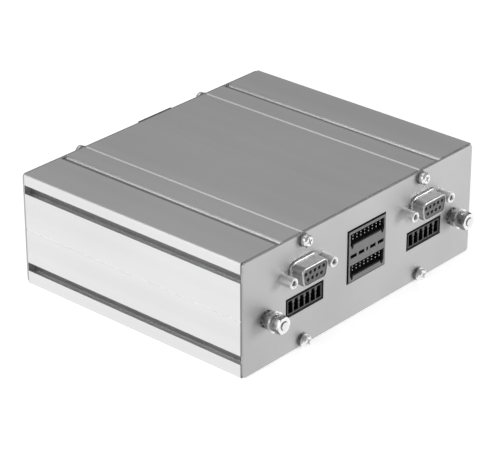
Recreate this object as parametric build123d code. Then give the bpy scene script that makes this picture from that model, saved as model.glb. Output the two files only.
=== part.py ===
from build123d import *
from math import radians, tan
import os

# A two-axis motion controller: an extruded aluminium tube, closed by sheet end plates, with two boards inside.
# The front plate faces -Y, +Z is up, and the origin is under the middle of the housing. Sizes are millimetres.

# Housing profile, drawn in the X-Z plane and cut to length along Y
PROFILE_WIDTH = 150.0
PROFILE_HEIGHT = 52.0
PROFILE_LENGTH = 122.0
PROFILE_WALL = 3.0
PROFILE_EDGE_RADIUS = 0.6
LOW_SLOT_LIP = 6.25          # from the bottom face to the mouth of the lower side slot
HIGH_SLOT_LIP = 5.05         # from the top face to the mouth of the upper one
SLOT_MOUTH = 4.05
SLOT_LIP_THICKNESS = 1.6
SLOT_CHANNEL_HEIGHT = 7.0
SLOT_CHANNEL_DEPTH = 2.6
SLOT_BACKING = 1.8           # wall left behind and beside a slot's channel
GROOVE_EDGE = 23.1           # from the side to the shallow grooves along the top and the bottom
GROOVE_WIDTH = 4.0
GROOVE_DEPTH = 1.0
SCRIBE_WIDTH = 1.3           # V-shaped lines over the screw ports
SCRIBE_DEPTH = 0.55
SIDE_SCRIBE_WIDTH = 0.7
SIDE_SCRIBE_DEPTH = 0.3
PORT_EDGE = 36.6             # from the side to the screw ports
PORT_INSET = 3.1
PORT_RADIUS = 3.0
PORT_BORE_RADIUS = 1.5
GUIDE_THICKNESS = 1.5        # ribs that hold a board's edge
GUIDE_DEPTH = 3.0
GUIDE_PLAY = 0.1

# End plates
PLATE_THICKNESS = 1.0
PLATE_MARGIN = 0.3           # how far the profile stands out round a plate
PLATE_CORNER_RADIUS = 1.5
CUTOUT_GAP = 0.7             # air round a connector in its cut-out
HOLE_GAP = 0.15              # air round a screw, stud or post in its hole

# End plate screws with their washers
SCREW_SHANK_RADIUS = 1.42
SCREW_LENGTH = 10.0
SCREW_HEAD_RADIUS = 2.75
SCREW_HEAD_HEIGHT = 2.2
SCREW_HEAD_BEVEL = 0.8
RECESS_SPAN = 3.0
RECESS_WIDTH = 0.7
RECESS_DEPTH = 1.3
FLAT_WASHER_RADIUS = 3.0
FLAT_WASHER_THICKNESS = 0.5
LOCK_WASHER_RADIUS = 2.75
LOCK_WASHER_THICKNESS = 0.8
LOCK_WASHER_SPLIT = 0.5

# Boards
BOARD_THICKNESS = 1.6
BOARD_END_GAP = 1.0
LOWER_BOARD_TOP = 17.3
BOARD_PITCH = 12.3           # from the lower board's top to the upper one's
SPACER_EDGE = 10.0           # from the housing's inner wall to a spacer's axis
SPACER_Y = 48.0
SPACER_ACROSS_FLATS = 5.5
SPACER_BORE_RADIUS = 1.5
BOARD_SCREW_REACH = 4.0      # length inside a spacer
BOARD_SCREW_HEAD_HEIGHT = 1.8

# Nine-way sockets on the upper board
SERIAL_MID_X = 0.9
SERIAL_EDGE = 35.7           # from the middle of the pair, each socket lies this far short of the side
SERIAL_RISE = 6.3            # centre above the board
SHELL_WIDTH = 17.0
SHELL_HEIGHT = 8.7
SHELL_CORNER_RADIUS = 2.6
SHELL_SLANT = 10.0
SHELL_WALL = 0.7
SHELL_EDGE_RADIUS = 0.4      # the rolled front edge
SHELL_REACH = 6.6            # in front of the plate
RIM_MARGIN = 1.0             # the rim at the root of the shell
RIM_REACH = 1.1
RIM_EDGE_RADIUS = 0.5
FLANGE_EAR = 2.9             # from a post's axis to the flange's end
FLANGE_HEIGHT = 12.5
FLANGE_THICKNESS = 0.8
FLANGE_CORNER_RADIUS = 1.0
INSULATOR_RECESS = 0.3
INSULATOR_BACK_DEPTH = 6.0
INSULATOR_SIDE_GAP = 0.2     # to the bracket at each side
CONTACT_PITCH = 2.77
CONTACT_ROW_PITCH = 2.84
CONTACTS_PER_ROW = (5, 4)
CONTACT_RADIUS = 0.58
CONTACT_BORE_RADIUS = 0.42
CONTACT_BORE_DEPTH = 3.0
CONTACT_HOLE_RADIUS = 0.65
CONTACT_MOUTH_RADIUS = 0.85
CONTACT_RECESS = 0.9
TAIL_SIZE = 0.5              # square tail of a contact or small pin
TAIL_STEP = 2.4              # from one row of tails to the next
TAIL_THROUGH = 1.2           # length below the board
POST_SPACING = 24.99
POST_RADIUS = 2.4
POST_REACH = 6.3
POST_BORE_RADIUS = 1.15
POST_BORE_DEPTH = 4.5
POST_EDGE_BEVEL = 0.3
POST_MOUTH_BEVEL = 0.45
POST_STUD_RADIUS = 1.3
BRACKET_THICKNESS = 1.2
BRACKET_WIDTH = 5.6
BRACKET_FOOT = 7.0

# Six-way terminal headers on the lower board
HEADER_MID_X = 2.4
HEADER_EDGE = 35.6           # the same for the terminal headers
HEADER_WAYS = 6
HEADER_PITCH = 3.5
HEADER_HEIGHT = 7.4
HEADER_DEPTH = 9.2
HEADER_WALL = 0.85
HEADER_CAVITY_DEPTH = 7.6
HEADER_FACE_DEPTH = 0.1      # behind the plate's front face
HEADER_RIB = 0.45
HEADER_RIB_HEAD_WIDTH = 1.3
HEADER_RIB_HEAD_HEIGHT = 1.5
HEADER_BEAD = 0.8            # small square bead halfway up a rib
HEADER_PIN_SIZE = 0.8
HEADER_PIN_RECESS = 2.6

# Two-storey header in the middle of the front
STACK_MID_X = 2.5
STACK_WIDTH = 24.0
STACK_HEIGHT = 23.4
STACK_DEPTH = 13.0
STACK_REACH = 0.5            # in front of the plate
STACK_TOP_FRAME = 1.15
STACK_CAVITY_WIDTH = 22.4
STACK_CAVITY_HEIGHT = 5.5
STACK_CAVITY_DEPTH = 9.0
STACK_STOREY = 14.5
STACK_SLOT_DROP = 4.2        # from the upper cavity to the row of slots
STACK_SLOT_HEIGHT = 1.6
STACK_SLOT_DEPTH = 3.0
STACK_SLOT_WIDTHS = (4.1, 3.7, 1.25, 3.7, 4.1)
STACK_SLOT_GAP = 1.3
STACK_NOTCH_WIDTH = 1.9      # at the cavity, narrowing to the tip
STACK_NOTCH_TIP = 0.9
STACK_NOTCH_DROP = 1.35
STACK_NOTCH_INSET = 0.35
SHROUD_WALL = 0.35
SHROUD_RECESS = 0.35
STACK_WAYS = 8
STACK_PITCH = 2.54
STACK_ROW_DROPS = (1.35, 2.75)
STACK_PIN_SIZE = 0.5
STACK_PIN_RECESS = 0.6
STACK_TAIL_STEP = 1.3

# Earth studs: a rod with two nuts that clamp the plate, and a third that clamps a ring terminal
FRONT_STUD_EDGE = 13.8       # from the housing's side to a stud's axis
REAR_STUD_EDGE = 12.3
FRONT_STUDS_MID_X = 1.0
REAR_STUDS_MID_X = 0.0
FRONT_STUD_Z = 21.7
REAR_STUD_Z = 35.2
STUD_RADIUS = 2.0
STUD_END = 0.4               # length beyond the outer nut
STUD_INNER_LENGTH = 4.0
STUD_BORE_GAP = 0.06
STUD_NUT_ACROSS_FLATS = 7.0
STUD_NUT_HEIGHT = 3.2
STUD_NUT_TURN = 2.0
STUD_BACK_NUT_HEIGHT = 2.2
TOOTH_WASHER_RADIUS = 4.0
TOOTH_WASHER_THICKNESS = 0.8
TOOTH_COUNT = 12
TOOTH_DEPTH = 0.8
TERMINAL_WASHER_RADIUS = 4.5
TERMINAL_WASHER_THICKNESS = 0.9
SPRING_WASHER_RADIUS = 3.7
SPRING_WASHER_THICKNESS = 0.9

# Two-storey supply header at the rear
SUPPLY_X = 14.0
SUPPLY_WAYS = 4
SUPPLY_PITCH = 5.08
SUPPLY_STOREYS = 2
SUPPLY_CLEARANCE = 1.9       # under the housing's top wall
SUPPLY_DEPTH = 15.0
SUPPLY_REACH = 8.0           # behind the rear plate
SUPPLY_WALL = 0.8
SUPPLY_CAVITY_DEPTH = 9.5
SUPPLY_PIN_SIZE = 1.0
SUPPLY_PIN_RECESS = 2.5

# Parts on the lower board
PROCESSOR_SIZE = 20.0
PROCESSOR_THICKNESS = 1.6
PROCESSOR_LEAD_REACH = 1.2
MEMORY_LENGTH = 18.0
MEMORY_WIDTH = 8.0
MEMORY_THICKNESS = 1.2
MEMORY_X = 24.0
CHIP_LENGTH = 9.9
CHIP_WIDTH = 5.8
CHIP_THICKNESS = 1.6
CRYSTAL_LENGTH = 11.0
CRYSTAL_WIDTH = 4.6
CRYSTAL_HEIGHT = 3.6
LINK_WAYS = 20
LINK_PITCH = 2.54
LINK_WIDTH = 5.0
LINK_BASE_HEIGHT = 2.5
LINK_Y = 38.0

# Parts on the upper board
TRANSISTOR_COLUMNS = 6
TRANSISTOR_PITCH = 12.5
TRANSISTOR_ROW_PITCH = 15.0
TRANSISTOR_LENGTH = 10.2
TRANSISTOR_WIDTH = 9.2
TRANSISTOR_HEIGHT = 4.5
THERMAL_PAD_THICKNESS = 0.5
SPREADER_FOOT_HEIGHT = 3.0
SPREADER_WEB = 6.0
CAPACITOR_RADIUS = 6.25
CAPACITOR_BEVEL = 0.6
CAPACITOR_CLEARANCE = 0.3    # under the screw ports
CAPACITOR_PITCH = 14.5
CAPACITOR_COUNT = 4
CAPACITOR_Y = 32.0
INDUCTOR_RADIUS = 7.0
INDUCTOR_HEIGHT = 8.0
INDUCTOR_FLANGE = 1.2
INDUCTOR_CORE_RADIUS = 3.2
WINDING_RADIUS = 6.2
FUSE_RADIUS = 2.6
FUSE_LENGTH = 20.0
FUSE_CAP_LENGTH = 5.0
FUSE_RISE = 4.6
CLIP_WALL = 0.4
CLIP_WIDTH = 4.0
SHUNT_SIZE = (6.4, 3.2, 0.9)

# Places that follow from the sizes above
FRONT = -(PROFILE_LENGTH / 2 + PLATE_THICKNESS)
LOWER_BOARD_BOTTOM = LOWER_BOARD_TOP - BOARD_THICKNESS
UPPER_BOARD_TOP = LOWER_BOARD_TOP + BOARD_PITCH
UPPER_BOARD_BOTTOM = UPPER_BOARD_TOP - BOARD_THICKNESS
INNER_X = PROFILE_WIDTH / 2 - PROFILE_WALL
CEILING = PROFILE_HEIGHT - PROFILE_WALL
GROOVE_X = PROFILE_WIDTH / 2 - GROOVE_EDGE
PORT_X = PROFILE_WIDTH / 2 - PORT_EDGE
SPACER_X = INNER_X - SPACER_EDGE
FRONT_STUD_SPREAD = PROFILE_WIDTH / 2 - FRONT_STUD_EDGE
REAR_STUD_SPREAD = PROFILE_WIDTH / 2 - REAR_STUD_EDGE
BOARD_END = PROFILE_LENGTH / 2 - BOARD_END_GAP
SERIAL_SPREAD = PROFILE_WIDTH / 2 - SERIAL_EDGE
SERIAL_XS = (SERIAL_MID_X - SERIAL_SPREAD, SERIAL_MID_X + SERIAL_SPREAD)
SERIAL_Z = UPPER_BOARD_TOP + SERIAL_RISE
FLANGE_WIDTH = POST_SPACING + 2 * FLANGE_EAR
INSULATOR_BACK_WIDTH = POST_SPACING - BRACKET_WIDTH - 2 * INSULATOR_SIDE_GAP
HEADER_SPREAD = PROFILE_WIDTH / 2 - HEADER_EDGE
HEADER_XS = (HEADER_MID_X - HEADER_SPREAD, HEADER_MID_X + HEADER_SPREAD)
HEADER_CAVITY_WIDTH = HEADER_WAYS * HEADER_PITCH - HEADER_RIB
HEADER_WIDTH = HEADER_CAVITY_WIDTH + 2 * HEADER_WALL
HEADER_MID_Z = LOWER_BOARD_TOP + HEADER_HEIGHT / 2
HEADER_FACE = FRONT + HEADER_FACE_DEPTH
STACK_FACE = FRONT - STACK_REACH
STACK_TOP = LOWER_BOARD_TOP + STACK_HEIGHT
STACK_MID_Z = LOWER_BOARD_TOP + STACK_HEIGHT / 2
STACK_TAILS = 2 * len(STACK_ROW_DROPS)
BASE_NUT_FACE = FRONT - TOOTH_WASHER_THICKNESS - STUD_NUT_HEIGHT
STUD_STACK = (TOOTH_WASHER_THICKNESS + TERMINAL_WASHER_THICKNESS + SPRING_WASHER_THICKNESS
              + 2 * STUD_NUT_HEIGHT)
SUPPLY_WIDTH = SUPPLY_WAYS * SUPPLY_PITCH + SUPPLY_WALL
SUPPLY_HEIGHT = CEILING - SUPPLY_CLEARANCE - UPPER_BOARD_TOP
SUPPLY_STOREY_HEIGHT = SUPPLY_HEIGHT / SUPPLY_STOREYS
CAPACITOR_HEIGHT = PROFILE_HEIGHT - PORT_INSET - PORT_RADIUS - CAPACITOR_CLEARANCE - UPPER_BOARD_TOP
SCREW_PLACES = [(x, z) for x in (-PORT_X, PORT_X) for z in (PORT_INSET, PROFILE_HEIGHT - PORT_INSET)]
SPACER_PLACES = [(x, y) for x in (-SPACER_X, SPACER_X) for y in (-SPACER_Y, SPACER_Y)]


def save(name, *solids):
    """Write one piece, or a group of like pieces, to its own file."""
    shape = solids[0] if len(solids) == 1 else Compound(children=list(solids))
    export_step(shape, f"parts/{name}.step")


def block(x0, x1, y0, y1, z0, z1):
    """A box between two corners."""
    return Pos((x0 + x1) / 2, (y0 + y1) / 2, (z0 + z1) / 2) * Box(x1 - x0, y1 - y0, z1 - z0)


def along_y(outline, y0, y1):
    """Push an outline, drawn as X across and Z up, from y0 to y1."""
    return extrude(Plane((0, y1, 0), x_dir=(1, 0, 0), z_dir=(0, -1, 0)) * outline, amount=y1 - y0)


def upright(outline, z0, z1):
    """Push an outline, drawn in plan, from z0 up to z1."""
    return extrude(Pos(0, 0, z0) * outline, amount=z1 - z0)


def tub(x, z, width, height):
    """A rectangle centred at x and z, for along_y."""
    return Pos(x, z) * Rectangle(width, height)


def ring(x, z, radius, y0, y1):
    """A round bar along Y."""
    return along_y(Pos(x, z) * Circle(radius), y0, y1)


def hexagon(across_flats):
    """A hexagon with a corner to each side."""
    return RegularPolygon(across_flats / 2, 6, major_radius=False)


def turned_round(solid):
    """The same piece at the other end of the housing."""
    return Rot(0, 0, 180) * solid


# Housing


def side_slot(side, mid_z):
    """The mouth and the wider channel of one side slot."""
    outer = PROFILE_WIDTH / 2
    mouth_mid = outer - SLOT_LIP_THICKNESS / 2
    channel_mid = outer - SLOT_LIP_THICKNESS - SLOT_CHANNEL_DEPTH / 2
    mouth = Pos(side * mouth_mid, mid_z) * Rectangle(SLOT_LIP_THICKNESS, SLOT_MOUTH)
    channel = Pos(side * channel_mid, mid_z) * Rectangle(SLOT_CHANNEL_DEPTH, SLOT_CHANNEL_HEIGHT)
    return mouth + channel


def slot_backing(side, mid_z):
    """The thicker wall round a slot's channel."""
    depth = SLOT_LIP_THICKNESS + SLOT_CHANNEL_DEPTH + SLOT_BACKING
    middle = PROFILE_WIDTH / 2 - depth / 2
    return Pos(side * middle, mid_z) * Rectangle(depth, SLOT_CHANNEL_HEIGHT + 2 * SLOT_BACKING)


def board_guides(side, board_bottom):
    """Two ribs that hold the edge of one board."""
    middle = INNER_X - GUIDE_DEPTH / 2
    below = board_bottom - GUIDE_PLAY - GUIDE_THICKNESS / 2
    above = board_bottom + BOARD_THICKNESS + GUIDE_PLAY + GUIDE_THICKNESS / 2
    rib = Rectangle(GUIDE_DEPTH, GUIDE_THICKNESS)
    return Pos(side * middle, below) * rib + Pos(side * middle, above) * rib


def vee(width, depth):
    """A V-shaped cutter with its mouth on the X axis, cutting downwards."""
    return Polygon((width / 2, 0), (-width / 2, 0), (0, -depth), align=None)


def housing_profile():
    """The section of the extrusion."""
    middle = PROFILE_HEIGHT / 2
    slot_zs = (LOW_SLOT_LIP + SLOT_MOUTH / 2, PROFILE_HEIGHT - HIGH_SLOT_LIP - SLOT_MOUTH / 2)
    outer = Pos(0, middle) * RectangleRounded(PROFILE_WIDTH, PROFILE_HEIGHT, PROFILE_EDGE_RADIUS)
    inner = Pos(0, middle) * Rectangle(2 * INNER_X, PROFILE_HEIGHT - 2 * PROFILE_WALL)
    section = outer - inner
    for side in (-1, 1):
        for mid_z in slot_zs:
            section += slot_backing(side, mid_z)
            section -= side_slot(side, mid_z)
        section += board_guides(side, LOWER_BOARD_BOTTOM)
        section += board_guides(side, UPPER_BOARD_BOTTOM)
        edge_cut = Rot(0, 0, -90 * side) * vee(SIDE_SCRIBE_WIDTH, SIDE_SCRIBE_DEPTH)
        section -= Pos(side * PROFILE_WIDTH / 2, middle) * edge_cut
    for x, z in SCREW_PLACES:
        section += Pos(x, z) * Circle(PORT_RADIUS) & outer
    for x, z in SCREW_PLACES:
        section -= Pos(x, z) * Circle(PORT_BORE_RADIUS)
        top = z > middle
        face = PROFILE_HEIGHT if top else 0
        scribe = vee(SCRIBE_WIDTH, SCRIBE_DEPTH) if top else Rot(0, 0, 180) * vee(SCRIBE_WIDTH, SCRIBE_DEPTH)
        section -= Pos(x, face) * scribe
        groove_x = GROOVE_X if x > 0 else -GROOVE_X
        groove_z = face - GROOVE_DEPTH / 2 if top else face + GROOVE_DEPTH / 2
        section -= tub(groove_x, groove_z, GROOVE_WIDTH, GROOVE_DEPTH)
    return section


def housing():
    """The profile cut to length."""
    return along_y(housing_profile(), -PROFILE_LENGTH / 2, PROFILE_LENGTH / 2)


# End plates


def plate_blank():
    """A sheet a little smaller than the profile, with its screw holes."""
    outline = RectangleRounded(
        PROFILE_WIDTH - 2 * PLATE_MARGIN, PROFILE_HEIGHT - 2 * PLATE_MARGIN, PLATE_CORNER_RADIUS
    )
    blank = Pos(0, PROFILE_HEIGHT / 2) * outline
    for x, z in SCREW_PLACES:
        blank -= Pos(x, z) * Circle(SCREW_SHANK_RADIUS + HOLE_GAP)
    return blank


def stud_holes(middle, spread, stud_z):
    """Holes for a pair of earth studs."""
    hole = Circle(STUD_RADIUS + HOLE_GAP)
    return Pos(middle - spread, stud_z) * hole + Pos(middle + spread, stud_z) * hole


def front_plate():
    """The front sheet, with every connector's cut-out."""
    sheet = plate_blank() - stud_holes(FRONT_STUDS_MID_X, FRONT_STUD_SPREAD, FRONT_STUD_Z)
    for x in SERIAL_XS:
        sheet -= Pos(x, SERIAL_Z) * rim_outline(HOLE_GAP)
        for side in (-1, 1):
            post_x = x + side * POST_SPACING / 2
            sheet -= Pos(post_x, SERIAL_Z) * Circle(POST_STUD_RADIUS + HOLE_GAP)
    for x in HEADER_XS:
        sheet -= tub(x, HEADER_MID_Z, HEADER_WIDTH + 2 * CUTOUT_GAP, HEADER_HEIGHT + 2 * CUTOUT_GAP)
    sheet -= tub(STACK_MID_X, STACK_MID_Z, STACK_WIDTH + 2 * CUTOUT_GAP, STACK_HEIGHT + 2 * CUTOUT_GAP)
    return along_y(sheet, FRONT, FRONT + PLATE_THICKNESS)


def rear_plate():
    """The rear sheet, with the supply header's cut-out."""
    sheet = plate_blank() - stud_holes(REAR_STUDS_MID_X, REAR_STUD_SPREAD, REAR_STUD_Z)
    mid_z = UPPER_BOARD_TOP + SUPPLY_HEIGHT / 2
    sheet -= tub(SUPPLY_X, mid_z, SUPPLY_WIDTH + 2 * CUTOUT_GAP, SUPPLY_HEIGHT + 2 * CUTOUT_GAP)
    return along_y(sheet, -FRONT - PLATE_THICKNESS, -FRONT)


# End plate screws


def flat_washer(x, z):
    """A washer on the front plate."""
    outline = Circle(FLAT_WASHER_RADIUS) - Circle(SCREW_SHANK_RADIUS + HOLE_GAP)
    return along_y(Pos(x, z) * outline, FRONT - FLAT_WASHER_THICKNESS, FRONT)


def lock_washer(x, z):
    """A split ring on the flat washer."""
    outline = Circle(LOCK_WASHER_RADIUS) - Circle(SCREW_SHANK_RADIUS + HOLE_GAP)
    outline -= Pos(LOCK_WASHER_RADIUS / 2, 0) * Rectangle(LOCK_WASHER_RADIUS, LOCK_WASHER_SPLIT)
    seat = FRONT - FLAT_WASHER_THICKNESS
    return along_y(Pos(x, z) * Rot(0, 0, 40) * outline, seat - LOCK_WASHER_THICKNESS, seat)


def plate_screw(x, z):
    """A pan head screw with a cross recess, through its washers into a port."""
    seat = FRONT - FLAT_WASHER_THICKNESS - LOCK_WASHER_THICKNESS
    crown = seat - SCREW_HEAD_HEIGHT
    head = ring(x, z, SCREW_HEAD_RADIUS, crown, seat)
    head = chamfer(head.edges().group_by(Axis.Y)[0], SCREW_HEAD_BEVEL)
    cross = Rectangle(RECESS_SPAN, RECESS_WIDTH) + Rectangle(RECESS_WIDTH, RECESS_SPAN)
    head -= along_y(Pos(x, z) * Rot(0, 0, 20) * cross, crown, crown + RECESS_DEPTH)
    return head + ring(x, z, SCREW_SHANK_RADIUS, seat, seat + SCREW_LENGTH)


# Nine-way sockets


def d_outline(width, height, radius):
    """A D-shaped outline, wide side up, centred on the origin."""
    inset = height * tan(radians(SHELL_SLANT))
    half = width / 2
    corners = Polygon((half, height / 2), (-half, height / 2), (inset - half, -height / 2),
                      (half - inset, -height / 2), align=None)
    return fillet(corners.vertices(), radius)


def rim_outline(gap=0.0):
    """The raised rim round the shell's root, or the hole that it passes through."""
    margin = RIM_MARGIN + gap
    return d_outline(SHELL_WIDTH + 2 * margin, SHELL_HEIGHT + 2 * margin, SHELL_CORNER_RADIUS + margin)


def serial_shell(x):
    """The drawn metal shell with its rim and its flange behind the plate."""
    outer = Pos(x, SERIAL_Z) * d_outline(SHELL_WIDTH, SHELL_HEIGHT, SHELL_CORNER_RADIUS)
    bore = Pos(x, SERIAL_Z) * insulator_outline(0)
    back = FRONT + PLATE_THICKNESS
    shell = along_y(outer, FRONT - SHELL_REACH, back)
    shell = fillet(shell.edges().group_by(Axis.Y)[0], SHELL_EDGE_RADIUS)
    rim = along_y(Pos(x, SERIAL_Z) * rim_outline(), FRONT - RIM_REACH, back)
    shell += fillet(rim.edges().group_by(Axis.Y)[0], RIM_EDGE_RADIUS)
    flange = RectangleRounded(FLANGE_WIDTH, FLANGE_HEIGHT, FLANGE_CORNER_RADIUS)
    for side in (-1, 1):
        flange -= Pos(side * POST_SPACING / 2, 0) * Circle(POST_STUD_RADIUS + HOLE_GAP)
    shell += along_y(Pos(x, SERIAL_Z) * flange, back, back + FLANGE_THICKNESS)
    return shell - along_y(bore, FRONT - SHELL_REACH, back + FLANGE_THICKNESS)


def insulator_outline(gap):
    """The inside of the shell, less a gap."""
    shrink = SHELL_WALL + gap
    return d_outline(SHELL_WIDTH - 2 * shrink, SHELL_HEIGHT - 2 * shrink, SHELL_CORNER_RADIUS - shrink)


def contact_places():
    """Offsets of the contacts from the socket's centre, with their row."""
    places = []
    for row, count in enumerate(CONTACTS_PER_ROW):
        z = (0.5 - row) * CONTACT_ROW_PITCH
        places += [((i - (count - 1) / 2) * CONTACT_PITCH, z, row) for i in range(count)]
    return places


def serial_insulator(x):
    """The moulded body that fills the shell and stands on the board behind it."""
    face = FRONT - SHELL_REACH + INSULATOR_RECESS
    flange_back = FRONT + PLATE_THICKNESS + FLANGE_THICKNESS
    back = flange_back + INSULATOR_BACK_DEPTH
    body = along_y(Pos(x, SERIAL_Z) * insulator_outline(0), face, flange_back)
    half = INSULATOR_BACK_WIDTH / 2
    body += block(x - half, x + half, flange_back, back,
                  UPPER_BOARD_TOP, SERIAL_Z + SHELL_HEIGHT / 2 + RIM_MARGIN)
    for dx, dz, _ in contact_places():
        body -= ring(x + dx, SERIAL_Z + dz, CONTACT_HOLE_RADIUS, face, back)
        body -= ring(x + dx, SERIAL_Z + dz, CONTACT_MOUTH_RADIUS, face, face + CONTACT_RECESS)
    return body


def serial_contact(x, dx, dz, row):
    """A socket contact, its tail bent down through the board."""
    face = FRONT - SHELL_REACH + INSULATOR_RECESS + CONTACT_RECESS
    back = FRONT + PLATE_THICKNESS + FLANGE_THICKNESS + INSULATOR_BACK_DEPTH
    z = SERIAL_Z + dz
    barrel = ring(x + dx, z, CONTACT_RADIUS, face, back)
    barrel -= ring(x + dx, z, CONTACT_BORE_RADIUS, face, face + CONTACT_BORE_DEPTH)
    return barrel + bent_tail(x + dx, z, back, back + TAIL_SIZE + (2 - row) * TAIL_STEP, UPPER_BOARD_BOTTOM)


def bent_tail(x, z, y0, y1, board_bottom, size=TAIL_SIZE):
    """A square wire that runs back from y0 to y1 and then down through a board."""
    half = size / 2
    run = block(x - half, x + half, y0, y1, z - half, z + half)
    drop = block(x - half, x + half, y1 - size, y1, board_bottom - TAIL_THROUGH, z + half)
    return run + drop


def jack_post(x, side):
    """A round post with a tapped end, screwed through the plate, the flange and the bracket."""
    post_x = x + side * POST_SPACING / 2
    back = FRONT + PLATE_THICKNESS + FLANGE_THICKNESS + BRACKET_THICKNESS
    post = ring(post_x, SERIAL_Z, POST_RADIUS, FRONT - POST_REACH, FRONT)
    post = chamfer(post.edges().group_by(Axis.Y)[0], POST_EDGE_BEVEL)
    post -= ring(post_x, SERIAL_Z, POST_BORE_RADIUS, FRONT - POST_REACH, FRONT - POST_REACH + POST_BORE_DEPTH)
    mouth = post.edges().group_by(Axis.Y)[0].sort_by(SortBy.RADIUS)[0]
    post = chamfer(mouth, POST_MOUTH_BEVEL)
    return post + ring(post_x, SERIAL_Z, POST_STUD_RADIUS, FRONT, back)


def serial_bracket(x, side):
    """An angle behind the flange that stands on the board."""
    post_x = x + side * POST_SPACING / 2
    half = BRACKET_WIDTH / 2
    y0 = FRONT + PLATE_THICKNESS + FLANGE_THICKNESS
    top = SERIAL_Z + FLANGE_HEIGHT / 2
    wall = block(post_x - half, post_x + half, y0, y0 + BRACKET_THICKNESS, UPPER_BOARD_TOP, top)
    foot = block(post_x - half, post_x + half, y0, y0 + BRACKET_FOOT,
                 UPPER_BOARD_TOP, UPPER_BOARD_TOP + BRACKET_THICKNESS)
    return wall + foot - ring(post_x, SERIAL_Z, POST_STUD_RADIUS + HOLE_GAP, y0, y0 + BRACKET_THICKNESS)


# Terminal headers


def terminal_header(x):
    """A shroud with a thin rib between its cells, each rib wider at the top."""
    face = HEADER_FACE
    mid_z = HEADER_MID_Z
    cavity_height = HEADER_HEIGHT - 2 * HEADER_WALL
    body = along_y(tub(x, mid_z, HEADER_WIDTH, HEADER_HEIGHT), face, face + HEADER_DEPTH)
    cavity = tub(x, mid_z, HEADER_CAVITY_WIDTH, cavity_height)
    for i in range(1, HEADER_WAYS):
        rib_x = x + (i - HEADER_WAYS / 2) * HEADER_PITCH
        cavity -= tub(rib_x, mid_z, HEADER_RIB, cavity_height)
        cavity -= tub(rib_x, mid_z, HEADER_BEAD, HEADER_BEAD)
        head_z = mid_z + (cavity_height - HEADER_RIB_HEAD_HEIGHT) / 2
        cavity -= tub(rib_x, head_z, HEADER_RIB_HEAD_WIDTH, HEADER_RIB_HEAD_HEIGHT)
    body -= along_y(cavity, face, face + HEADER_CAVITY_DEPTH)
    for pin_x in header_pin_xs(x):
        body -= along_y(tub(pin_x, mid_z, HEADER_PIN_SIZE, HEADER_PIN_SIZE), face, face + HEADER_DEPTH)
    return body


def header_pin_xs(x):
    """Where the pins of one terminal header stand."""
    return [x + (i - (HEADER_WAYS - 1) / 2) * HEADER_PITCH for i in range(HEADER_WAYS)]


def terminal_pin(pin_x):
    """A square pin bent down through the lower board."""
    half = HEADER_PIN_SIZE / 2
    y0 = HEADER_FACE + HEADER_PIN_RECESS
    back = HEADER_FACE + HEADER_DEPTH
    pin = block(pin_x - half, pin_x + half, y0, back, HEADER_MID_Z - half, HEADER_MID_Z + half)
    return pin + bent_tail(pin_x, HEADER_MID_Z, back, back + TAIL_STEP, LOWER_BOARD_BOTTOM, HEADER_PIN_SIZE)


# Two-storey header


def stack_cavity_tops():
    """The heights of the two cavities' upper edges."""
    upper = STACK_TOP - STACK_TOP_FRAME
    return (upper, upper - STACK_STOREY)


def key_notch(shrink):
    """A notch that narrows downwards, with its mouth's middle at the origin."""
    mouth = STACK_NOTCH_WIDTH / 2 - shrink
    tip = STACK_NOTCH_TIP / 2 - shrink
    low = shrink - STACK_NOTCH_DROP
    return Polygon((mouth, shrink), (-mouth, shrink), (-tip, low), (tip, low), align=None)


def stack_cavity(top, shrink=0.0):
    """A cavity with a key notch near each lower corner."""
    outline = tub(STACK_MID_X, top - STACK_CAVITY_HEIGHT / 2,
                  STACK_CAVITY_WIDTH - 2 * shrink, STACK_CAVITY_HEIGHT - 2 * shrink)
    from_middle = (STACK_CAVITY_WIDTH - STACK_NOTCH_WIDTH) / 2 - STACK_NOTCH_INSET
    for side in (-1, 1):
        outline += Pos(STACK_MID_X + side * from_middle, top - STACK_CAVITY_HEIGHT) * key_notch(shrink)
    return outline


def stack_slots():
    """The row of five pockets between the storeys."""
    span = sum(STACK_SLOT_WIDTHS) + STACK_SLOT_GAP * (len(STACK_SLOT_WIDTHS) - 1)
    top = stack_cavity_tops()[0] - STACK_CAVITY_HEIGHT - STACK_SLOT_DROP
    left = STACK_MID_X - span / 2
    outline = Sketch()
    for width in STACK_SLOT_WIDTHS:
        outline += tub(left + width / 2, top - STACK_SLOT_HEIGHT / 2, width, STACK_SLOT_HEIGHT)
        left += width + STACK_SLOT_GAP
    return outline


def stack_body():
    """The grey moulding that holds both shrouds."""
    body = along_y(tub(STACK_MID_X, STACK_MID_Z, STACK_WIDTH, STACK_HEIGHT), STACK_FACE, STACK_FACE + STACK_DEPTH)
    for top in stack_cavity_tops():
        body -= along_y(stack_cavity(top), STACK_FACE, STACK_FACE + STACK_DEPTH)
    return body - along_y(stack_slots(), STACK_FACE, STACK_FACE + STACK_SLOT_DEPTH)


def stack_shroud(top):
    """A black liner, open at the front, that carries two rows of pins."""
    face = STACK_FACE + SHROUD_RECESS
    shroud = along_y(stack_cavity(top), face, STACK_FACE + STACK_DEPTH)
    shroud -= along_y(stack_cavity(top, SHROUD_WALL), face, STACK_FACE + STACK_CAVITY_DEPTH)
    for x, z in stack_pin_places(top):
        shroud -= along_y(tub(x, z, STACK_PIN_SIZE, STACK_PIN_SIZE), face, STACK_FACE + STACK_DEPTH)
    return shroud


def stack_pin_places(top):
    """Where the pins of one storey stand, top row first."""
    xs = [STACK_MID_X + (i - (STACK_WAYS - 1) / 2) * STACK_PITCH for i in range(STACK_WAYS)]
    return [(x, top - drop) for drop in STACK_ROW_DROPS for x in xs]


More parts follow.
